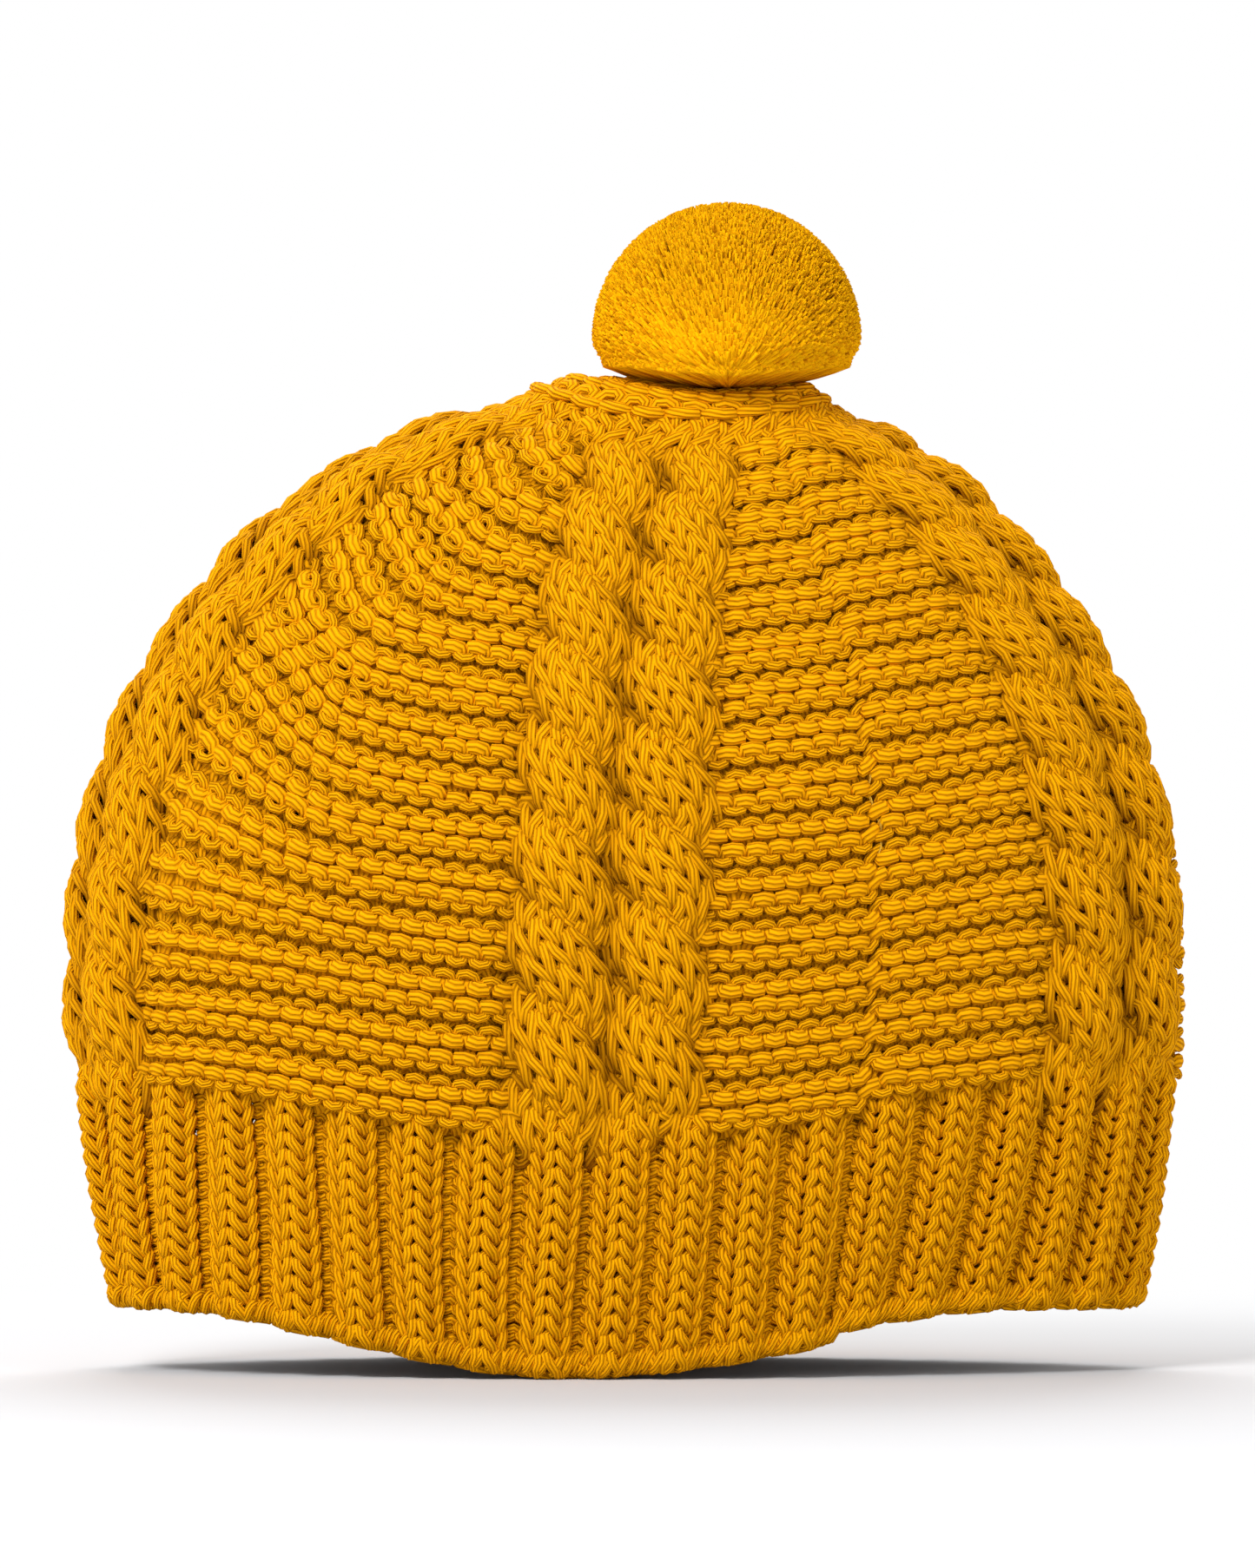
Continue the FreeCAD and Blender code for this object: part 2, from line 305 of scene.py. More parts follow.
def mesh_object(name, vertices, quads, caps, maps, levels, material):
    """A smooth mesh object of quads and end caps, with its UV maps, levels and material."""
    mesh = bpy.data.meshes.new(name)
    corners = np.concatenate([quads.ravel(), *caps])
    cap_starts = quads.size + np.arange(len(caps)) * len(caps[0])
    starts = np.concatenate([np.arange(len(quads)) * 4, cap_starts])
    mesh.vertices.add(len(vertices))
    mesh.vertices.foreach_set("co", vertices.ravel())
    mesh.loops.add(len(corners))
    mesh.loops.foreach_set("vertex_index", corners.astype(np.int32))
    mesh.polygons.add(len(starts))
    mesh.polygons.foreach_set("loop_start", starts.astype(np.int32))
    mesh.polygons.foreach_set("use_smooth", np.ones(len(starts), dtype=bool))
    for label, values in maps.items():
        layer = mesh.uv_layers.new(name=label)
        padded = np.tile(values[-1], (len(corners), 1))
        padded[: len(values)] = values
        layer.data.foreach_set("uv", padded.ravel())
    # The level attribute sets the material's painted shade.
    mesh.attributes.new("level", "FLOAT", "POINT").data.foreach_set("value", levels.astype(np.float32))
    mesh.update(calc_edges=True)
    mesh.materials.append(material)
    piece = bpy.data.objects.new(name, mesh)
    bpy.context.scene.collection.objects.link(piece)
    return piece


MOST_STITCHES = 850


def add_section(label, courses, material):
    """Turns a section's courses into pieces small enough to keep whole, which stand for its node."""
    heap, stitches, made = [], 0, []
    for path in courses:
        size = len(path[0]) / SEGMENTS
        if heap and stitches + size > MOST_STITCHES:
            made.append(yarn_object(f"{label}_yarn_{len(made) + 1}", heap, material))
            heap, stitches = [], 0
        heap.append(path)
        stitches += size
    made.append(yarn_object(f"{label}_yarn_{len(made) + 1}", heap, material))
    for piece in made:
        show(piece, label, "hat")


def show(piece, label, body):
    """Has a piece stand for a CAD node, which it hides, and move with a body."""
    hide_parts(label)
    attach(piece, body)


def lay(row, length, height):
    """Points on the hat and the outward directions there, with the fabric's unevenness."""
    length = length + 0.5 * unevenness(row, length + 900, 17)
    row = row + 0.4 * unevenness(row, length, 23) / surface.height
    height = height + 0.3 * unevenness(row, length + 300, 13)
    points, outward = surface.sample(row, length)
    return points + outward * height[:, None], outward


# ---------------------------------------------------------------- materials


def node(tree, kind, **settings):
    """A shader node with its settings: attributes by name, inputs by their label or number."""
    made = tree.nodes.new(kind)
    for key, value in settings.items():
        if key == "inputs":
            for label, entry in value.items():
                made.inputs[label].default_value = entry
        else:
            setattr(made, key, value)
    return made


def math_node(tree, operation, first, second=None):
    """A math node whose operands are sockets or numbers."""
    made = node(tree, "ShaderNodeMath", operation=operation)
    for index, operand in enumerate([first, second]):
        if operand is None:
            continue
        if isinstance(operand, (int, float)):
            made.inputs[index].default_value = operand
        else:
            tree.links.new(operand, made.inputs[index])
    return made.outputs[0]


def yarn_material(name, light, dark, painted_shade, plies, twist):
    """Matte cotton yarn: parallel plies with painted shade in their grooves, fine fibres and a mottled
    dye.

    Painted shade: yarn that lies low in the fabric turns towards the painted shade colour.
    """
    material = bpy.data.materials.new(name)
    material.use_nodes = True
    tree = material.node_tree
    tree.nodes.clear()
    uv = node(tree, "ShaderNodeUVMap", uv_map="Yarn")
    split = node(tree, "ShaderNodeSeparateXYZ")
    tree.links.new(uv.outputs[0], split.inputs[0])
    along, around = split.outputs[0], split.outputs[1]
    turned = math_node(tree, "ADD", around, math_node(tree, "MULTIPLY", along, twist))
    wave = math_node(tree, "SINE", math_node(tree, "MULTIPLY", turned, math.pi * plies))
    ply = math_node(tree, "POWER", math_node(tree, "ABSOLUTE", wave), 0.9)
    fibre_place = node(tree, "ShaderNodeCombineXYZ")
    tree.links.new(math_node(tree, "MULTIPLY", along, 0.35), fibre_place.inputs[0])
    tree.links.new(math_node(tree, "MULTIPLY", turned, 26.0), fibre_place.inputs[1])
    fibre = node(tree, "ShaderNodeTexNoise", inputs={"Scale": 1.6, "Detail": 3.0})
    tree.links.new(fibre_place.outputs[0], fibre.inputs["Vector"])
    place = node(tree, "ShaderNodeTexCoord")
    mottle = node(tree, "ShaderNodeTexNoise", inputs={"Scale": 210.0, "Detail": 3.0})
    tree.links.new(place.outputs["Object"], mottle.inputs["Vector"])
    # Painted shade in the ply grooves, plus random tone from fibre and mottle noise, picks a colour
    # from dark to light.
    tone = math_node(tree, "MULTIPLY", ply, 0.6)
    tone = math_node(tree, "ADD", tone, math_node(tree, "MULTIPLY", fibre.outputs[0], 0.35))
    tone = math_node(tree, "ADD", tone, math_node(tree, "MULTIPLY", mottle.outputs[0], 0.3))
    ramp = node(tree, "ShaderNodeValToRGB")
    ramp.color_ramp.elements[0].position = 0.2
    ramp.color_ramp.elements[0].color = (*dark, 1)
    ramp.color_ramp.elements[1].position = 0.85
    ramp.color_ramp.elements[1].color = (*light, 1)
    tree.links.new(tone, ramp.inputs[0])
    # Painted shade: the lower the yarn's level, the more of the painted shade colour it takes.
    level = node(tree, "ShaderNodeAttribute", attribute_name="level")
    shown = node(tree, "ShaderNodeMapRange", inputs={"From Min": FULL_SHADE_LEVEL, "From Max": TOP_LEVEL})
    tree.links.new(level.outputs["Fac"], shown.inputs["Value"])
    mix = node(tree, "ShaderNodeMix", data_type="RGBA", inputs={6: (*painted_shade, 1)})
    tree.links.new(shown.outputs[0], mix.inputs[0])
    tree.links.new(ramp.outputs[0], mix.inputs[7])
    relief = math_node(tree, "ADD", ply, math_node(tree, "MULTIPLY", fibre.outputs[0], 0.5))
    bump = node(tree, "ShaderNodeBump", inputs={"Strength": 1.0, "Distance": PLY_DEPTH * MM})
    tree.links.new(relief, bump.inputs["Height"])
    shader = node(
        tree, "ShaderNodeBsdfPrincipled",
        inputs={"Roughness": 0.9, "Sheen Weight": 0.1, "Sheen Roughness": 0.5, "IOR": 1.4},
    )
    shader.inputs["Sheen Tint"].default_value = (*light, 1)
    shader.inputs["Specular IOR Level"].default_value = 0.05
    tree.links.new(mix.outputs[2], shader.inputs["Base Color"])
    tree.links.new(bump.outputs[0], shader.inputs["Normal"])
    out = node(tree, "ShaderNodeOutputMaterial")
    tree.links.new(shader.outputs[0], out.inputs[0])
    return material


# Painted shade fades out between these two levels.
FULL_SHADE_LEVEL, TOP_LEVEL = -1.0, 2.8
PLY_DEPTH = 0.35
# The last colour of each yarn is painted shade, for yarn low in the fabric.
KNIT_LIGHT, KNIT_DARK, KNIT_PAINTED_SHADE = (0.86, 0.37, 0.0008), (0.44, 0.14, 0.0002), (0.15, 0.035, 0.0001)
knit_yarn = yarn_material("knit_yarn", KNIT_LIGHT, KNIT_DARK, KNIT_PAINTED_SHADE, 9, 0.02)
tying_yarn = yarn_material("tying_yarn", (0.74, 0.3, 0.002), (0.45, 0.14, 0.001), KNIT_PAINTED_SHADE, 6, 0.08)
seam_yarn = yarn_material("seam_yarn", (0.92, 0.52, 0.05), (0.7, 0.33, 0.02), KNIT_PAINTED_SHADE, 4, 0.10)
pompom_yarn = yarn_material(
    "pompom_yarn", (1.0, 0.49, 0.001), (0.88, 0.32, 0.0005), (0.45, 0.11, 0.0002), 2, 0.02
)


# ---------------------------------------------------------------- the ribbed brim

RIBS = 38
BRIM_COURSES = 14
BRIM_GAUGE = {"lean": 0.24, "bias": 0.24, "overlap": 0.8, "flatness": 0.0, "depth": 1.0, "tuck": 0.35}
BRIM_YARN = (1.12, 1.0)
RIB_RELIEF = 1.9
RIB_CROWDING = 0.15
SEAM_STEP = 2.0
BRIM_SINK = 3.0
BRIM_LEVEL = 2.1


def rib_sign(columns, course):
    """Two knit columns and a purl column."""
    return np.where(np.mod(columns, 3) == 2, -1, 1)


def seam_length(row):
    """Where the side seam runs, as a length from the front centre."""
    start, end = section_span("front_right_panel", row)
    return start + SEAM_SHARE * (end - start)


def edge_step(row, length):
    """How far the brim is shifted up past the side seam, where its ends were joined unevenly."""
    beyond = np.mod(length, surface.round_at(row)) - seam_length(row)
    step = smooth(-0.8, 0.8, beyond) * (1 - smooth(10, 90, beyond))
    return SEAM_STEP * step * np.clip(1 - row / BRIM_ROW, 0, 1) / surface.height


def rib_length(across, row):
    """The length from the front centre at a place counted in columns, which crowd at the purls."""
    crowded = across + RIB_CROWDING * np.sin(TURN * (across - 1) / 3)
    return crowded * surface.round_at(row) / (3 * RIBS)


def brim_path(first, count, course):
    """One course of the brim over some of its columns. The last one sinks under the sections above."""
    across, up, depth = loops(first, count, course, rib_sign, BRIM_GAUGE)
    relief = RIB_RELIEF * np.cos(TURN * (across - 1) / 3)
    relief -= BRIM_SINK * smooth(BRIM_COURSES - 1.0, BRIM_COURSES + 0.5, up)
    row = BRIM_ROW * np.clip(up / BRIM_COURSES, 0, None)
    length = rib_length(across, row)
    points, outward = lay(row + edge_step(row, length), length, depth + relief)
    # Painted shade: yarn lower in the fabric, as in the purl columns and the sunk last course, is
    # darker.
    return points, outward, BRIM_YARN, depth + 0.4 * relief + BRIM_LEVEL


def build_brim():
    """The brim in four quarters, and the cast-on edge that wraps its lower rim."""
    quarter_ribs = np.linspace(0, RIBS, 5).astype(int)
    courses = [
        brim_path(3 * start, 3 * (end - start), course)
        for start, end in zip(quarter_ribs, quarter_ribs[1:])
        for course in range(BRIM_COURSES)
    ]
    add_section("ribbed_brim", courses, knit_yarn)
    build_edge()


EDGE_RADIUS = 1.6
EDGE_RISE = 1.8
EDGE_YARN = (0.95, 0.95)


def build_edge():
    """The cast-on edge: two yarns that wrap the rim once for each column, half a turn apart."""
    turn = np.linspace(0, TURN * 3 * RIBS, 12 * 3 * RIBS + 1)
    relief = 0.6 * RIB_RELIEF * np.cos(TURN * (turn / TURN - 1) / 3)
    paths = []
    for start in (0.0, math.pi):
        low = EDGE_RADIUS * np.sin(turn + start)
        out = EDGE_RADIUS * np.cos(turn + start)
        row = np.clip(low + EDGE_RISE, 0, None) / surface.height
        length = rib_length(turn / TURN, row)
        points, outward = surface.sample(row + edge_step(row, length), length)
        points = points + outward * (relief + out)[:, None]
        points[:, 2] += np.minimum(low + EDGE_RISE, 0)
        # Painted shade: the side of each wrap that turns in towards the fabric is darker.
        paths.append((points, outward, EDGE_YARN, out + 1.0))
    show(yarn_object("cast_on_edge_yarn", paths, knit_yarn), "cast_on_edge", "hat")


# ---------------------------------------------------------------- the welted panels

BODY_COURSES = 58
COURSE_HEIGHT = (RING_ROW - BRIM_ROW) * surface.height / BODY_COURSES
PANEL_PITCH = 4.5
WIDEST_PANEL = 130.0
PANEL_GAUGE = {"lean": 0.26, "bias": 0.0, "overlap": 0.8, "flatness": 0.1, "depth": 1.0, "tuck": 0.1}
WELT_RELIEF = 2.3
OUTER_GAUGE = {**PANEL_GAUGE, "flatness": 0.0, "lean": 0.24}
WELT_SPREAD = 1.3
PANEL_LEVEL = 0.1
PANEL_EDGE_SINK = 2.2
BEND_SLOPE = 1.2
BEND_HEIGHTS = (55, 138)
BEND_INWARD = 36
BEND_ROUNDING = 50


def welt_sign(columns, course):
    """Two purl courses, then two knit courses."""
    return np.where(np.mod(course, 4) < 2, -1, 1) * np.ones(len(columns))


def welt_phase(up):
    """The angle through a welt: 0 along the top of its ridge, half a turn in the groove."""
    return TURN * (up - 0.5) / 4


def welt_height(up):
    """How far up the fabric a place in the welts lies. Ridges are spread and grooves closed up."""
    spread = WELT_SPREAD * (2 / math.pi) * np.sin(welt_phase(up))
    return BRIM_ROW * surface.height + COURSE_HEIGHT * (up + spread)


def course_climb(label, height, inward):
    """How far a course climbs towards the left cable, as it does on the front left panel."""
    steep = BEND_SLOPE * smooth(*BEND_HEIGHTS, height) if label == "front_left_panel" else 0
    reach = inward - BEND_INWARD + 0.7 * max(0, height - 118)
    return steep * 0.5 * (reach + np.sqrt(reach**2 + BEND_ROUNDING))


def course_line(label, height):
    """A course's line across a panel, measured leftwards from just past its right edge.

    For points along it: the run, how far in they are, the height, the tilt and the stretch.
    """
    inward = np.linspace(-PANEL_PITCH, WIDEST_PANEL, 600)
    climb = course_climb(label, height, inward)
    tilt = np.arctan(np.gradient(climb, inward))
    stretch = (1 + course_climb(label, height + 1, inward) - climb) * np.cos(tilt)
    start, end = section_span(label, (height + climb) / surface.height)
    beyond = (inward > end - start + PANEL_PITCH) | (height + climb > RING_ROW * surface.height + 3)
    count = max(int(np.argmax(beyond)), 2)
    run = np.concatenate([[0], np.cumsum(np.diff(inward) / np.cos(tilt[1:]))])
    return [values[:count] for values in (run, inward, height + climb, tilt, stretch)]


def panel_path(label, course):
    """One course of a welted panel, knitted along its line."""
    line = course_line(label, welt_height(course + 0.5))
    count = max(2, round(line[0][-1] / PANEL_PITCH))
    outer = np.mod(course, 4) == 0
    across, up, depth = loops(-count, count, course, welt_sign, OUTER_GAUGE if outer else PANEL_GAUGE)
    run = -across * PANEL_PITCH
    inward, height, tilt, stretch = (np.interp(run, line[0], values) for values in line[1:])
    rise = (welt_height(up) - welt_height(course + 0.5)) * stretch
    inward = inward - rise * np.sin(tilt)
    row = (height + rise * np.cos(tilt)) / surface.height
    start, end = section_span(label, row)
    step, crease = seam_line(label, end - inward - seam_length(row))
    row = row + step / surface.height
    start, end = section_span(label, row)
    edge = 1 - smooth(-2.0, 5.0, np.minimum(inward, end - start - inward))
    bulge = np.cos(welt_phase(up))
    relief = WELT_RELIEF * (2 * smooth(-0.85, 0.1, bulge) - 1) - PANEL_EDGE_SINK * edge - crease
    thickness = 0.92 + 0.62 * smooth(0.6, 0.85, bulge) + 0.95 * smooth(0.1, -0.5, bulge)
    thickness = thickness * stretch**0.3
    points, outward = lay(row, end - inward, depth + relief)
    # Painted shade: the grooves between welts, the sunk panel edges and the seam's dip are darker.
    return points, outward, (thickness, 0.5 * thickness + 0.3), depth + 0.9 * relief + PANEL_LEVEL


def seam_line(label, beyond):
    """The side seam of the front right panel: the welts step up there, and the fabric dips."""
    if label != "front_right_panel":
        return 0, 0
    return 2.2 * smooth(-2.2, 2.2, beyond), 1.3 * np.exp(-((beyond / 2.0) ** 2))


def build_panels():
    """The four welted panels."""
    for label in ("front_left_panel", "front_right_panel", "back_left_panel", "back_right_panel"):
        add_section(label, [panel_path(label, course) for course in range(-1, BODY_COURSES)], knit_yarn)


# ---------------------------------------------------------------- the cables

CABLE_COURSES = 32
CROSSING = 4.0
CROSSING_START = 0.3
CABLE_COURSE_HEIGHT = (RING_ROW - BRIM_ROW) * surface.height / CABLE_COURSES
CABLE_GAUGE = {"lean": 0.27, "bias": 0.0, "overlap": 0.88, "flatness": 0.0, "depth": 0.9, "tuck": 0.45}
CABLE_YARN = (1.22, 1.0)
CABLE_RISE = 2.0
CROSSING_RISE = 1.7
CABLE_RUN_ON = 5
STRAND_SWING = 0.85
STRAND_WIDTH = 1.1
CABLE_LEVEL = 1.35
END_SINK = 0.7


def cable_row(up):
    """The row of the hat at a course of its cables."""
    return BRIM_ROW + CABLE_COURSE_HEIGHT * up / surface.height


def knit_sign(columns, course):
    """Knit stitches everywhere."""
    return np.ones(len(columns))


def strand_path(label, strand, course):
    """One course of a cable's strand: two knit stitches, run on at both sides to tuck under."""
    across, up, depth = loops(-1, 4, course, knit_sign, CABLE_GAUGE)
    aside = (across - 1) / 1.15
    phase = math.pi * (up - CROSSING_START) / CROSSING + math.pi * strand
    start, end = cable_span(label, cable_row(up))
    quarter = (end - start) / 4
    pitch = CROSSING * CABLE_COURSE_HEIGHT
    heading = np.arctan(-STRAND_SWING * np.sin(phase) * quarter * math.pi / pitch)
    offset = quarter * (STRAND_SWING * np.cos(phase) + STRAND_WIDTH * aside * np.cos(heading))
    row = cable_row(up) - STRAND_WIDTH * quarter * aside * np.sin(heading) / surface.height
    round_off = 1.0 * aside**2 + 1.6 * np.clip(np.abs(aside) - 1, 0, None)
    flank = 0.9 * (offset / (2 * quarter)) ** 2
    rise = CABLE_RISE + CROSSING_RISE * np.sin(phase) - round_off - flank
    ends = smooth(RING_ROW - 0.05, RING_ROW + 0.02, row)
    ends += smooth(BRIM_ROW + 0.02, BRIM_ROW - 0.01, row)
    height = rise * (1 - END_SINK * ends) + depth
    start, end = cable_span(label, row)
    points, outward = lay(row, (start + end) / 2 + offset, height)
    # Painted shade: a strand's edges and flanks, and the strand passing under at a crossing, are
    # darker.
    level = CABLE_LEVEL + depth - 0.7 * round_off - 0.4 * flank + 1.2 * np.minimum(np.sin(phase), 0)
    return points, outward, CABLE_YARN, level


def cable_span(label, row):
    """The two edges of a cable. Past the panels' tops the side cables run on and close in."""
    start, end = section_span(label, np.minimum(row, RING_ROW))
    gathered = surface.round_at(np.maximum(row, RING_ROW)) / surface.round_at(RING_ROW)
    middle, half = (start + end) / 2 * gathered, (end - start) / 2 * (0.5 + 0.5 * gathered)
    return middle - half, middle + half


CABLES = [
    f"{place}_cable_{side}"
    for place, sides in (
        ("front", ("left", "right")), ("back", ("left", "right")),
        ("left", ("front", "back")), ("right", ("front", "back")),
    )
    for side in sides
]


def build_cables():
    """The eight cables: two strands of two stitches that wind round each other."""
    for label in CABLES:
        run_on = CABLE_RUN_ON if label.startswith(("left", "right")) else 0
        courses = [
            strand_path(label, strand, course)
            for strand in (0, 1)
            for course in range(-1, CABLE_COURSES + run_on)
        ]
        add_section(label, courses, knit_yarn)


# ---------------------------------------------------------------- the gathered crown

RING_COURSES = 8
RING_GAUGE = {"lean": 0.3, "bias": 0.0, "overlap": 0.9, "flatness": 0.03, "depth": 1.0, "tuck": 0.3}
RIDGE_COURSE = 3.6
RIDGE_SPREAD = 1.7
RIDGE_RELIEF = 2.6


def ring_sign(columns, course):
    """Knit where the columns were decreased, a purl ridge, then knit up to the hole."""
    return np.where((course == 3) | (course == 4), -1, 1) * np.ones(len(columns))


def ring_columns(course):
    """How many columns are left after the decreases."""
    return 30 if course < 2 else 24 if course < 5 else 14


def build_crown():
    """The gathered ring under the pompom: decreased columns, a purl ridge, then the hole."""
    courses = []
    course_rows = (HOLE_ROW - RING_ROW) / RING_COURSES
    for course in range(RING_COURSES):
        count = ring_columns(course)
        across, up, depth = loops(count // 2, count, course, ring_sign, RING_GAUGE)
        beyond = up - RIDGE_COURSE
        ridge = np.exp(-((beyond / 1.5) ** 2))
        row = RING_ROW + course_rows * up + RIDGE_SPREAD * beyond * ridge / surface.height
        row = np.minimum(row, HOLE_ROW)
        length = across * surface.round_at(row) / count
        gather = 0.5 * np.cos(TURN * across * 11 / count) * (1 - ridge)
        rise = RIDGE_RELIEF * ridge + gather + 0.7 * smooth(HOLE_ROW, HOLE_ROW - 0.03, row)
        points, outward = lay(row, length, depth + rise)
        # Painted shade: yarn lower in the ring is darker, and the raised purl ridge lighter.
        courses.append((points, outward, (1.15 + 0.4 * ridge, 1.0), depth + 0.6 + 0.7 * rise))
    add_section("crown_ring", courses, knit_yarn)


# ---------------------------------------------------------------- the pompom

pile_low, pile_high = (np.array(corner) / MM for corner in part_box("pompom_pile"))
PILE_RADIUS = (pile_high[0] - pile_low[0]) / 2
PILE_CENTRE = np.array([(pile_low[0] + pile_high[0]) / 2, 0.0, pile_high[2] - PILE_RADIUS])
PILE_FOOT = CROWN_HEIGHT - 0.6
PILE_BASE = np.array([PILE_CENTRE[0], 0.0, PILE_FOOT + 1.0])
PILE_RIM = PILE_FOOT + 3.0
PILE_SIDE_LIFT = 2.5
PILE_RIM_LOOSENESS = 1.5
RIM_ROUNDING = 1.5
KNEE_DISTANCE = 11.0
PILE_STRANDS = 17000
PILE_POINTS = 6
PILE_PIECES = 5
STRAND_RADIUS = 0.25
STRAND_SIDES = 4


def strand_tips():
    """Where the strands end: evenly over a ball, but not below its rim, higher at the sides."""
    index = np.arange(PILE_STRANDS) + 0.5
    turn = index * math.pi * (3 - math.sqrt(5))
    rim = PILE_RIM + PILE_SIDE_LIFT * np.cos(turn) ** 2
    rim += PILE_RIM_LOOSENESS * random.random(PILE_STRANDS)
    rim = (rim - PILE_CENTRE[2]) / PILE_RADIUS
    lowest = (PILE_FOOT - PILE_CENTRE[2]) / PILE_RADIUS
    up = 1 - index / PILE_STRANDS * (1 - lowest) + 0.02 * random.standard_normal(PILE_STRANDS)
    up = np.clip(up, rim, 1)
    level = np.sqrt(1 - up**2)
    spread = np.stack([level * np.cos(turn), level * np.sin(turn), up], axis=-1)
    reach = PILE_RADIUS * (1 - 0.015 * np.abs(random.standard_normal(PILE_STRANDS)))
    reach -= RIM_ROUNDING * smooth(0.2, 0, up - rim)
    return PILE_CENTRE + spread * reach[:, None]


def strand_knee(tip):
    """The point that a strand bends towards: back from its tip, towards the middle of the foot."""
    root = np.array([PILE_CENTRE[0], tip[1], PILE_FOOT - 3.0])
    knee = tip + KNEE_DISTANCE * (root - tip) / np.linalg.norm(root - tip)
    knee[2] = max(knee[2], PILE_FOOT + 1.5)
    away = knee - PILE_CENTRE
    within = min(1.0, 0.97 * PILE_RADIUS / np.linalg.norm(away))
    return PILE_CENTRE + away * within + 0.4 * random.standard_normal(3)


def pile_paths():
    """Cut strands that fan out from the foot of the pile, bow outwards and end at its surface."""
    paths = []
    share = np.linspace(0.25, 1, PILE_POINTS)[:, None]
    for tip in strand_tips():
        knee = strand_knee(tip)
        points = (1 - share) ** 2 * PILE_BASE + 2 * share * (1 - share) * knee + share**2 * tip
        outward = (tip - PILE_CENTRE) / np.linalg.norm(tip - PILE_CENTRE)
        low = smooth(20, 2, tip[2] - PILE_RIM)
        radius = STRAND_RADIUS * (1 + 0.7 * low + 0.15 * random.standard_normal())
        # Painted shade: strands are darker towards the foot, far inside the pile; each strand also gets
        # a random tone.
        level = 3.2 - 0.35 * np.linalg.norm(tip - points, axis=1) + 1.1 * random.standard_normal()
        paths.append((points, np.tile(outward, (PILE_POINTS, 1)), (radius, radius), level))
    return paths


def build_pompom():
    """The pile, in pieces of a few thousand strands."""
    paths = pile_paths()
    for number in range(PILE_PIECES):
        name = f"pompom_pile_strands_{number + 1}"
        piece = yarn_object(name, paths[number::PILE_PIECES], pompom_yarn, STRAND_SIDES)
        show(piece, "pompom_pile", "pompom")


# ---------------------------------------------------------------- yarn that ties and sews


def plied(points, radius, plies, lay_length):
    """The paths of a cord's plies, twisted round its centre line."""
    tangent = np.gradient(points, axis=0)
    tangent /= np.linalg.norm(tangent, axis=1, keepdims=True)
    first = np.cross(tangent, (0.31, 0.23, 0.92))
    first /= np.linalg.norm(first, axis=1, keepdims=True)
    second = np.cross(tangent, first)
    run = np.concatenate([[0], np.cumsum(np.linalg.norm(np.diff(points, axis=0), axis=1))])
    paths = []
    for ply in range(plies):
        turn = TURN * (run / lay_length + ply / plies)[:, None]
        outward = np.cos(turn) * first + np.sin(turn) * second
        spot = points + 0.45 * radius * outward
        paths.append((spot, outward, (0.55 * radius, 0.55 * radius), np.full(len(points), TOP_LEVEL)))
    return paths


def node_middle(label):
    """The middle of a CAD node's box and its half sizes, in millimetres."""
    low, high = (np.array(corner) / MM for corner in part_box(label))
    return (low + high) / 2, (high - low) / 2


def ring_points(middle, radius, turns, rise, wave=0.0):
    """A ring of one or more turns, which may climb and wave."""
    turn = np.linspace(0, TURN * turns, round(48 * turns) + 1)
    height = rise * (turn / (TURN * turns) - 0.5) + wave * np.sin(6 * turn)
    return middle + np.stack([radius * np.cos(turn), radius * np.sin(turn), height], axis=-1)


def build_drawstring():
    """The yarn drawn tight through the last stitches of the crown."""
    middle, half = node_middle("drawstring")
    points = ring_points(middle, half[0] - 0.7, 1, 0, wave=0.25)
    piece = yarn_object("drawstring_yarn", plied(points, 0.7, 2, 3.0), tying_yarn)
    show(piece, "drawstring", "hat")


def build_anchor():
    """The knot inside the crown and the yarn that runs up from it to the pompom."""
    middle, half = node_middle("anchor_knot")
    turn = np.linspace(0, TURN, 73)
    knot = np.stack(
        [
            np.sin(turn) + 2 * np.sin(2 * turn),
            np.cos(turn) - 2 * np.cos(2 * turn),
            -1.6 * np.sin(3 * turn),
        ],
        axis=-1,
    )
    points = middle + knot * (half[0] - 0.8) / 3
    piece = yarn_object("anchor_knot_yarn", plied(points, 0.8, 2, 3.0), tying_yarn)
    show(piece, "anchor_knot", "hat")
    middle, half = node_middle("anchor_yarn")
    points = middle + np.linspace(-1, 1, 25)[:, None] * half * (0, 0, 1)
    piece = yarn_object("anchor_yarn_plies", plied(points, half[0], 3, 4.0), tying_yarn)
    show(piece, "anchor_yarn", "hat")


def build_neck():
    """The knotted neck that the pompom hangs on: a wound bead and a short twisted stem."""
    middle, half = node_middle("pompom_neck")
    bead = middle - (0, 0, half[2] - half[0])
    turn = np.linspace(-0.48 * math.pi, 0.48 * math.pi, 97)
    around = 9 * turn
    coil = np.stack(
        [np.cos(turn) * np.cos(around), np.cos(turn) * np.sin(around), np.sin(turn)], axis=-1
    )
    core = half[0] - 0.55
    paths = [(bead + core * coil, coil, (0.55, 0.55), np.full(97, TOP_LEVEL))]
    stem = bead + np.linspace(0, 2 * (half[2] - half[0]), 25)[:, None] * np.array([0, 0, 1])
    paths += plied(stem, 0.9, 3, 4.0)
    show(yarn_object("pompom_neck_yarn", paths, tying_yarn), "pompom_neck", "neck")


def build_binding():
    """The yarn wound tightly round the middle of the pile."""
    middle, half = node_middle("pompom_binding")
    points = ring_points(middle, half[0] - 0.5, 3, 2 * half[2] - 1.0)
    piece = yarn_object("pompom_binding_yarn", plied(points, 0.5, 2, 2.5), tying_yarn)
    show(piece, "pompom_binding", "pompom")


SEAM_DEPTH = 3.4
SEAM_PITCH = 3.0
SEAM_YARN = (0.6, 0.6)
THREAD_ROWS = (0.405, 0.49)
THREAD_YARN = (0.22, 0.22)


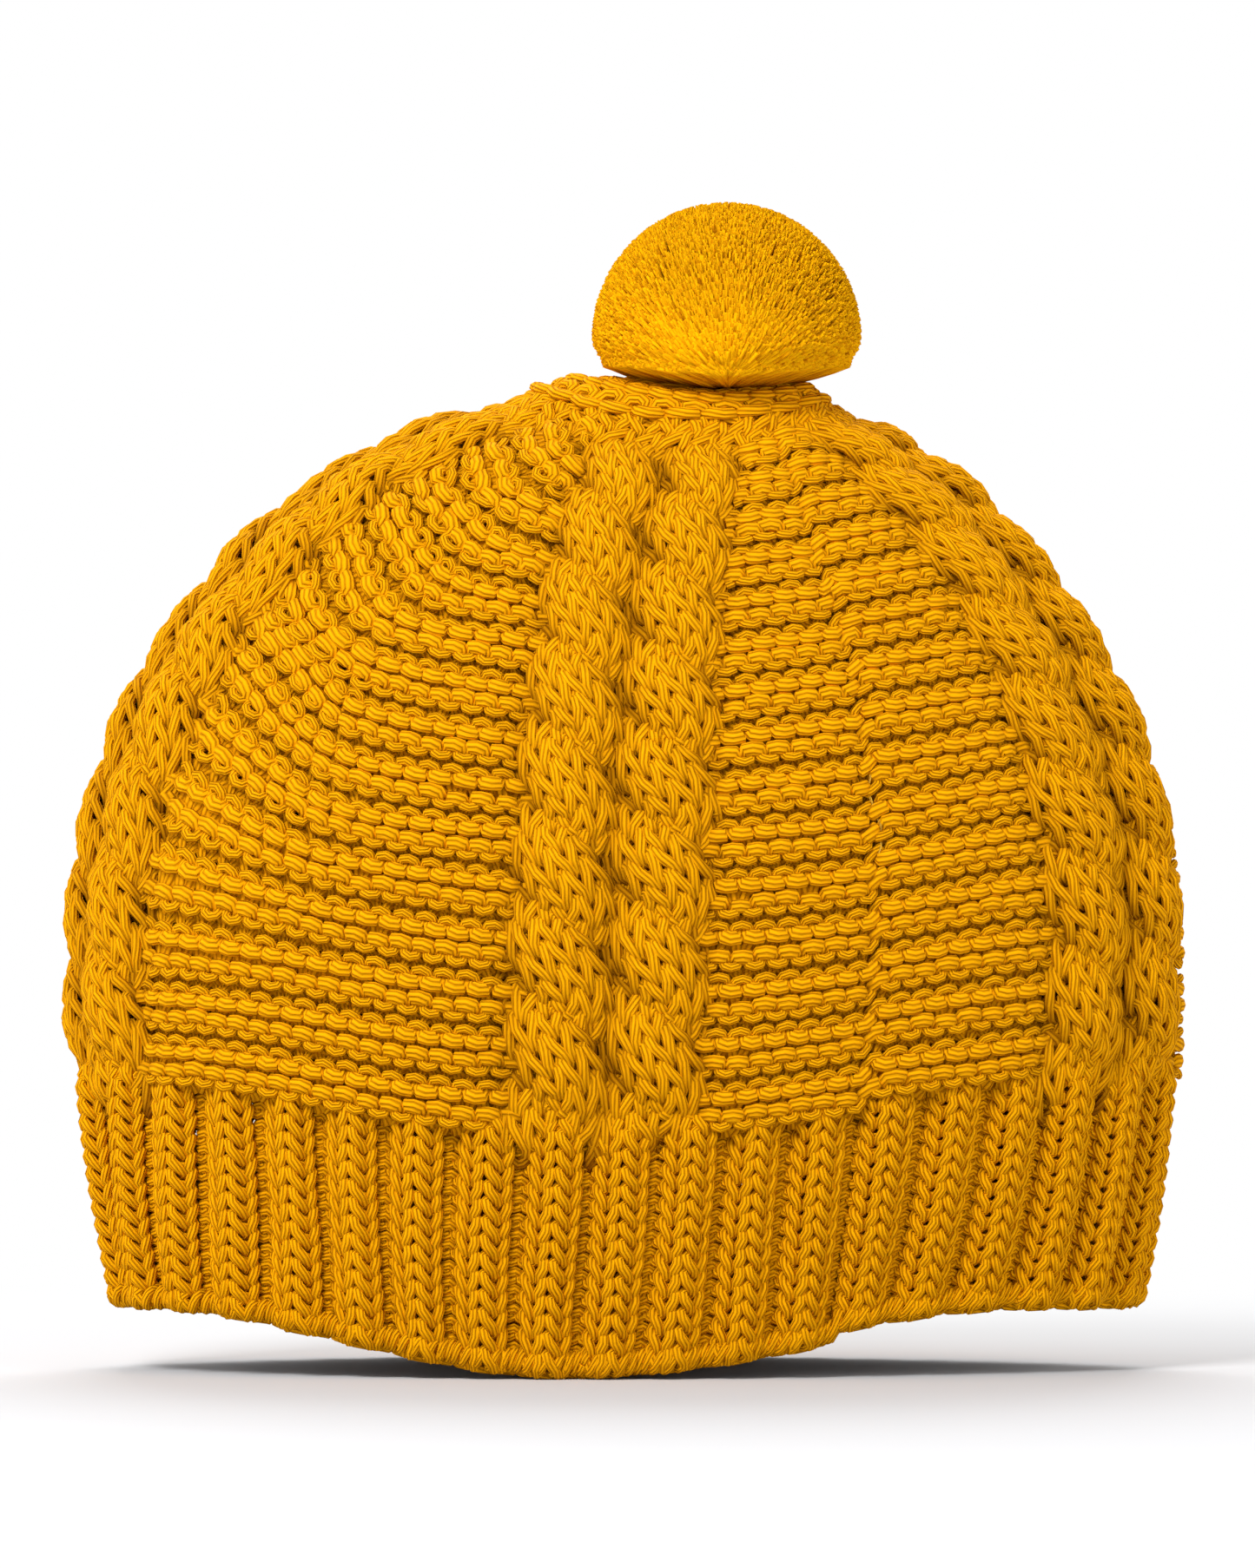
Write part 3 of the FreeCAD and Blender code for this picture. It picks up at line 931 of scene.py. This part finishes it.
def build_side_seam():
    """The overcast seam inside the hat, and a pale end of its thread that shows outside."""
    turns = (RING_ROW - 0.02) * surface.height / SEAM_PITCH
    turn = np.linspace(0, TURN * turns, round(16 * turns))
    row = 0.02 + turn / turn[-1] * (RING_ROW - 0.03)
    length = seam_length(row) + 1.4 * np.cos(turn)
    points, outward = lay(row, length, -SEAM_DEPTH + 0.9 * np.sin(turn))
    paths = [(points, outward, SEAM_YARN, np.full(len(row), TOP_LEVEL))]
    row = np.linspace(*THREAD_ROWS, 60)
    run = np.linspace(0, 1, 60)
    length = seam_length(row) + 0.9 * np.sin(7 * run) + 0.5
    points, outward = lay(row, length, 2.2 + 0.5 * np.sin(TURN * 4 * run))
    paths.append((points, outward, THREAD_YARN, np.full(60, TOP_LEVEL)))
    show(yarn_object("side_seam_yarn", paths, seam_yarn), "side_seam", "hat")


# ---------------------------------------------------------------- stage, lights and camera

PHOTO_WIDTH, PHOTO_HEIGHT = 1445, 1806
VIEW_WIDTH = 0.2467
CAMERA_LENS = 250.0
SENSOR = 36.0
AIM = Vector((0.0, 0.0, 0.1139))
STAGE_HALF_WIDTH = 6.0
STAGE_FRONT = -5.0
WALL_START = 3.4
WALL_CURVE = 0.6
BACK_WALL = 5.0
SIDE_WALL = 1.8
PAPER = (0.54, 0.545, 0.56, 1)
GLOW_CENTRE = (0, -0.14, 0)
GLOW_START, GLOW_END = 0.18, 0.5


def build_camera():
    """A level camera in front of the hat, far enough for an almost flat view."""
    data = bpy.data.cameras.new("camera")
    data.lens = CAMERA_LENS
    data.sensor_width = SENSOR
    view_height = VIEW_WIDTH * PHOTO_HEIGHT / PHOTO_WIDTH
    distance = view_height * CAMERA_LENS / SENSOR
    camera = bpy.data.objects.new("camera", data)
    camera.location = AIM - Vector((0, distance, 0))
    camera.rotation_euler = (math.radians(90), 0, 0)
    bpy.context.scene.collection.objects.link(camera)
    bpy.context.scene.camera = camera


def build_stage():
    """A pale floor that sweeps up into a backdrop, with low walls at its sides."""
    floor_height = cad_box[0].z - 0.0005
    outline = [(STAGE_FRONT, 0.0), (WALL_START, 0.0)]
    for angle in np.linspace(0.1, 1.57, 16):
        rise = WALL_CURVE * (1 - math.cos(angle))
        outline.append((WALL_START + WALL_CURVE * math.sin(angle), rise))
    outline.append((WALL_START + WALL_CURVE, BACK_WALL))
    sides = (-STAGE_HALF_WIDTH, STAGE_HALF_WIDTH)
    columns = [(sides[0], SIDE_WALL), (sides[0], 0.0), (sides[1], 0.0), (sides[1], SIDE_WALL)]
    vertices = [(x, y, z + floor_height + lift) for y, z in outline for x, lift in columns]
    corners = [4 * line + column for line in range(len(outline) - 1) for column in range(3)]
    faces = [(first, first + 1, first + 5, first + 4) for first in corners]
    mesh = bpy.data.meshes.new("backdrop")
    mesh.from_pydata(vertices, [], faces)
    backdrop = bpy.data.objects.new("backdrop", mesh)
    bpy.context.scene.collection.objects.link(backdrop)
    mesh.materials.append(backdrop_material())


def backdrop_material():
    """White paper that takes the hat's shadow close by and glows an even white far away."""
    material = bpy.data.materials.new("backdrop")
    material.use_nodes = True
    tree = material.node_tree
    paper = tree.nodes["Principled BSDF"]
    paper.inputs["Base Color"].default_value = PAPER
    paper.inputs["Roughness"].default_value = 0.9
    glow = node(tree, "ShaderNodeEmission", inputs={"Strength": 1.0})
    glow.inputs[0].default_value = (1, 1, 1, 1)
    place = node(tree, "ShaderNodeTexCoord")
    distance = node(tree, "ShaderNodeVectorMath", operation="DISTANCE", inputs={1: GLOW_CENTRE})
    tree.links.new(place.outputs["Object"], distance.inputs[0])
    far = node(tree, "ShaderNodeMapRange", inputs={"From Min": GLOW_START, "From Max": GLOW_END})
    tree.links.new(distance.outputs["Value"], far.inputs["Value"])
    mix = node(tree, "ShaderNodeMixShader")
    tree.links.new(far.outputs[0], mix.inputs[0])
    tree.links.new(paper.outputs[0], mix.inputs[1])
    tree.links.new(glow.outputs[0], mix.inputs[2])
    tree.links.new(mix.outputs[0], tree.nodes["Material Output"].inputs[0])
    return material


def area_light(name, place, size, power):
    """A square soft light aimed at the middle of the hat."""
    data = bpy.data.lights.new(name, "AREA")
    data.shape = "SQUARE"
    data.size = size
    data.energy = power
    light = bpy.data.objects.new(name, data)
    light.location = place
    light.rotation_mode = "QUATERNION"
    light.rotation_quaternion = (AIM - Vector(place)).to_track_quat("-Z", "Y")
    bpy.context.scene.collection.objects.link(light)


def build_lights():
    """A soft key light from the upper left, weaker lights round the hat and a bright room."""
    area_light("key", (-0.6, -1.1, 1.2), 0.6, 24.0)
    area_light("side", (-1.3, -0.2, 0.5), 0.6, 5.0)
    area_light("fill", (1.1, -1.0, 0.6), 1.0, 7.0)
    area_light("top", (0.0, 1.1, 1.4), 1.0, 22.0)
    world = bpy.data.worlds.new("room")
    world.use_nodes = True
    world.node_tree.nodes["Background"].inputs[0].default_value = (1, 1, 1, 1)
    world.node_tree.nodes["Background"].inputs[1].default_value = 0.5
    bpy.context.scene.world = world
    bpy.context.scene.view_settings.view_transform = "Standard"


build_camera()
build_stage()
build_lights()
build_brim()
build_panels()
build_cables()
build_crown()
build_pompom()
build_drawstring()
build_anchor()
build_neck()
build_binding()
build_side_seam()
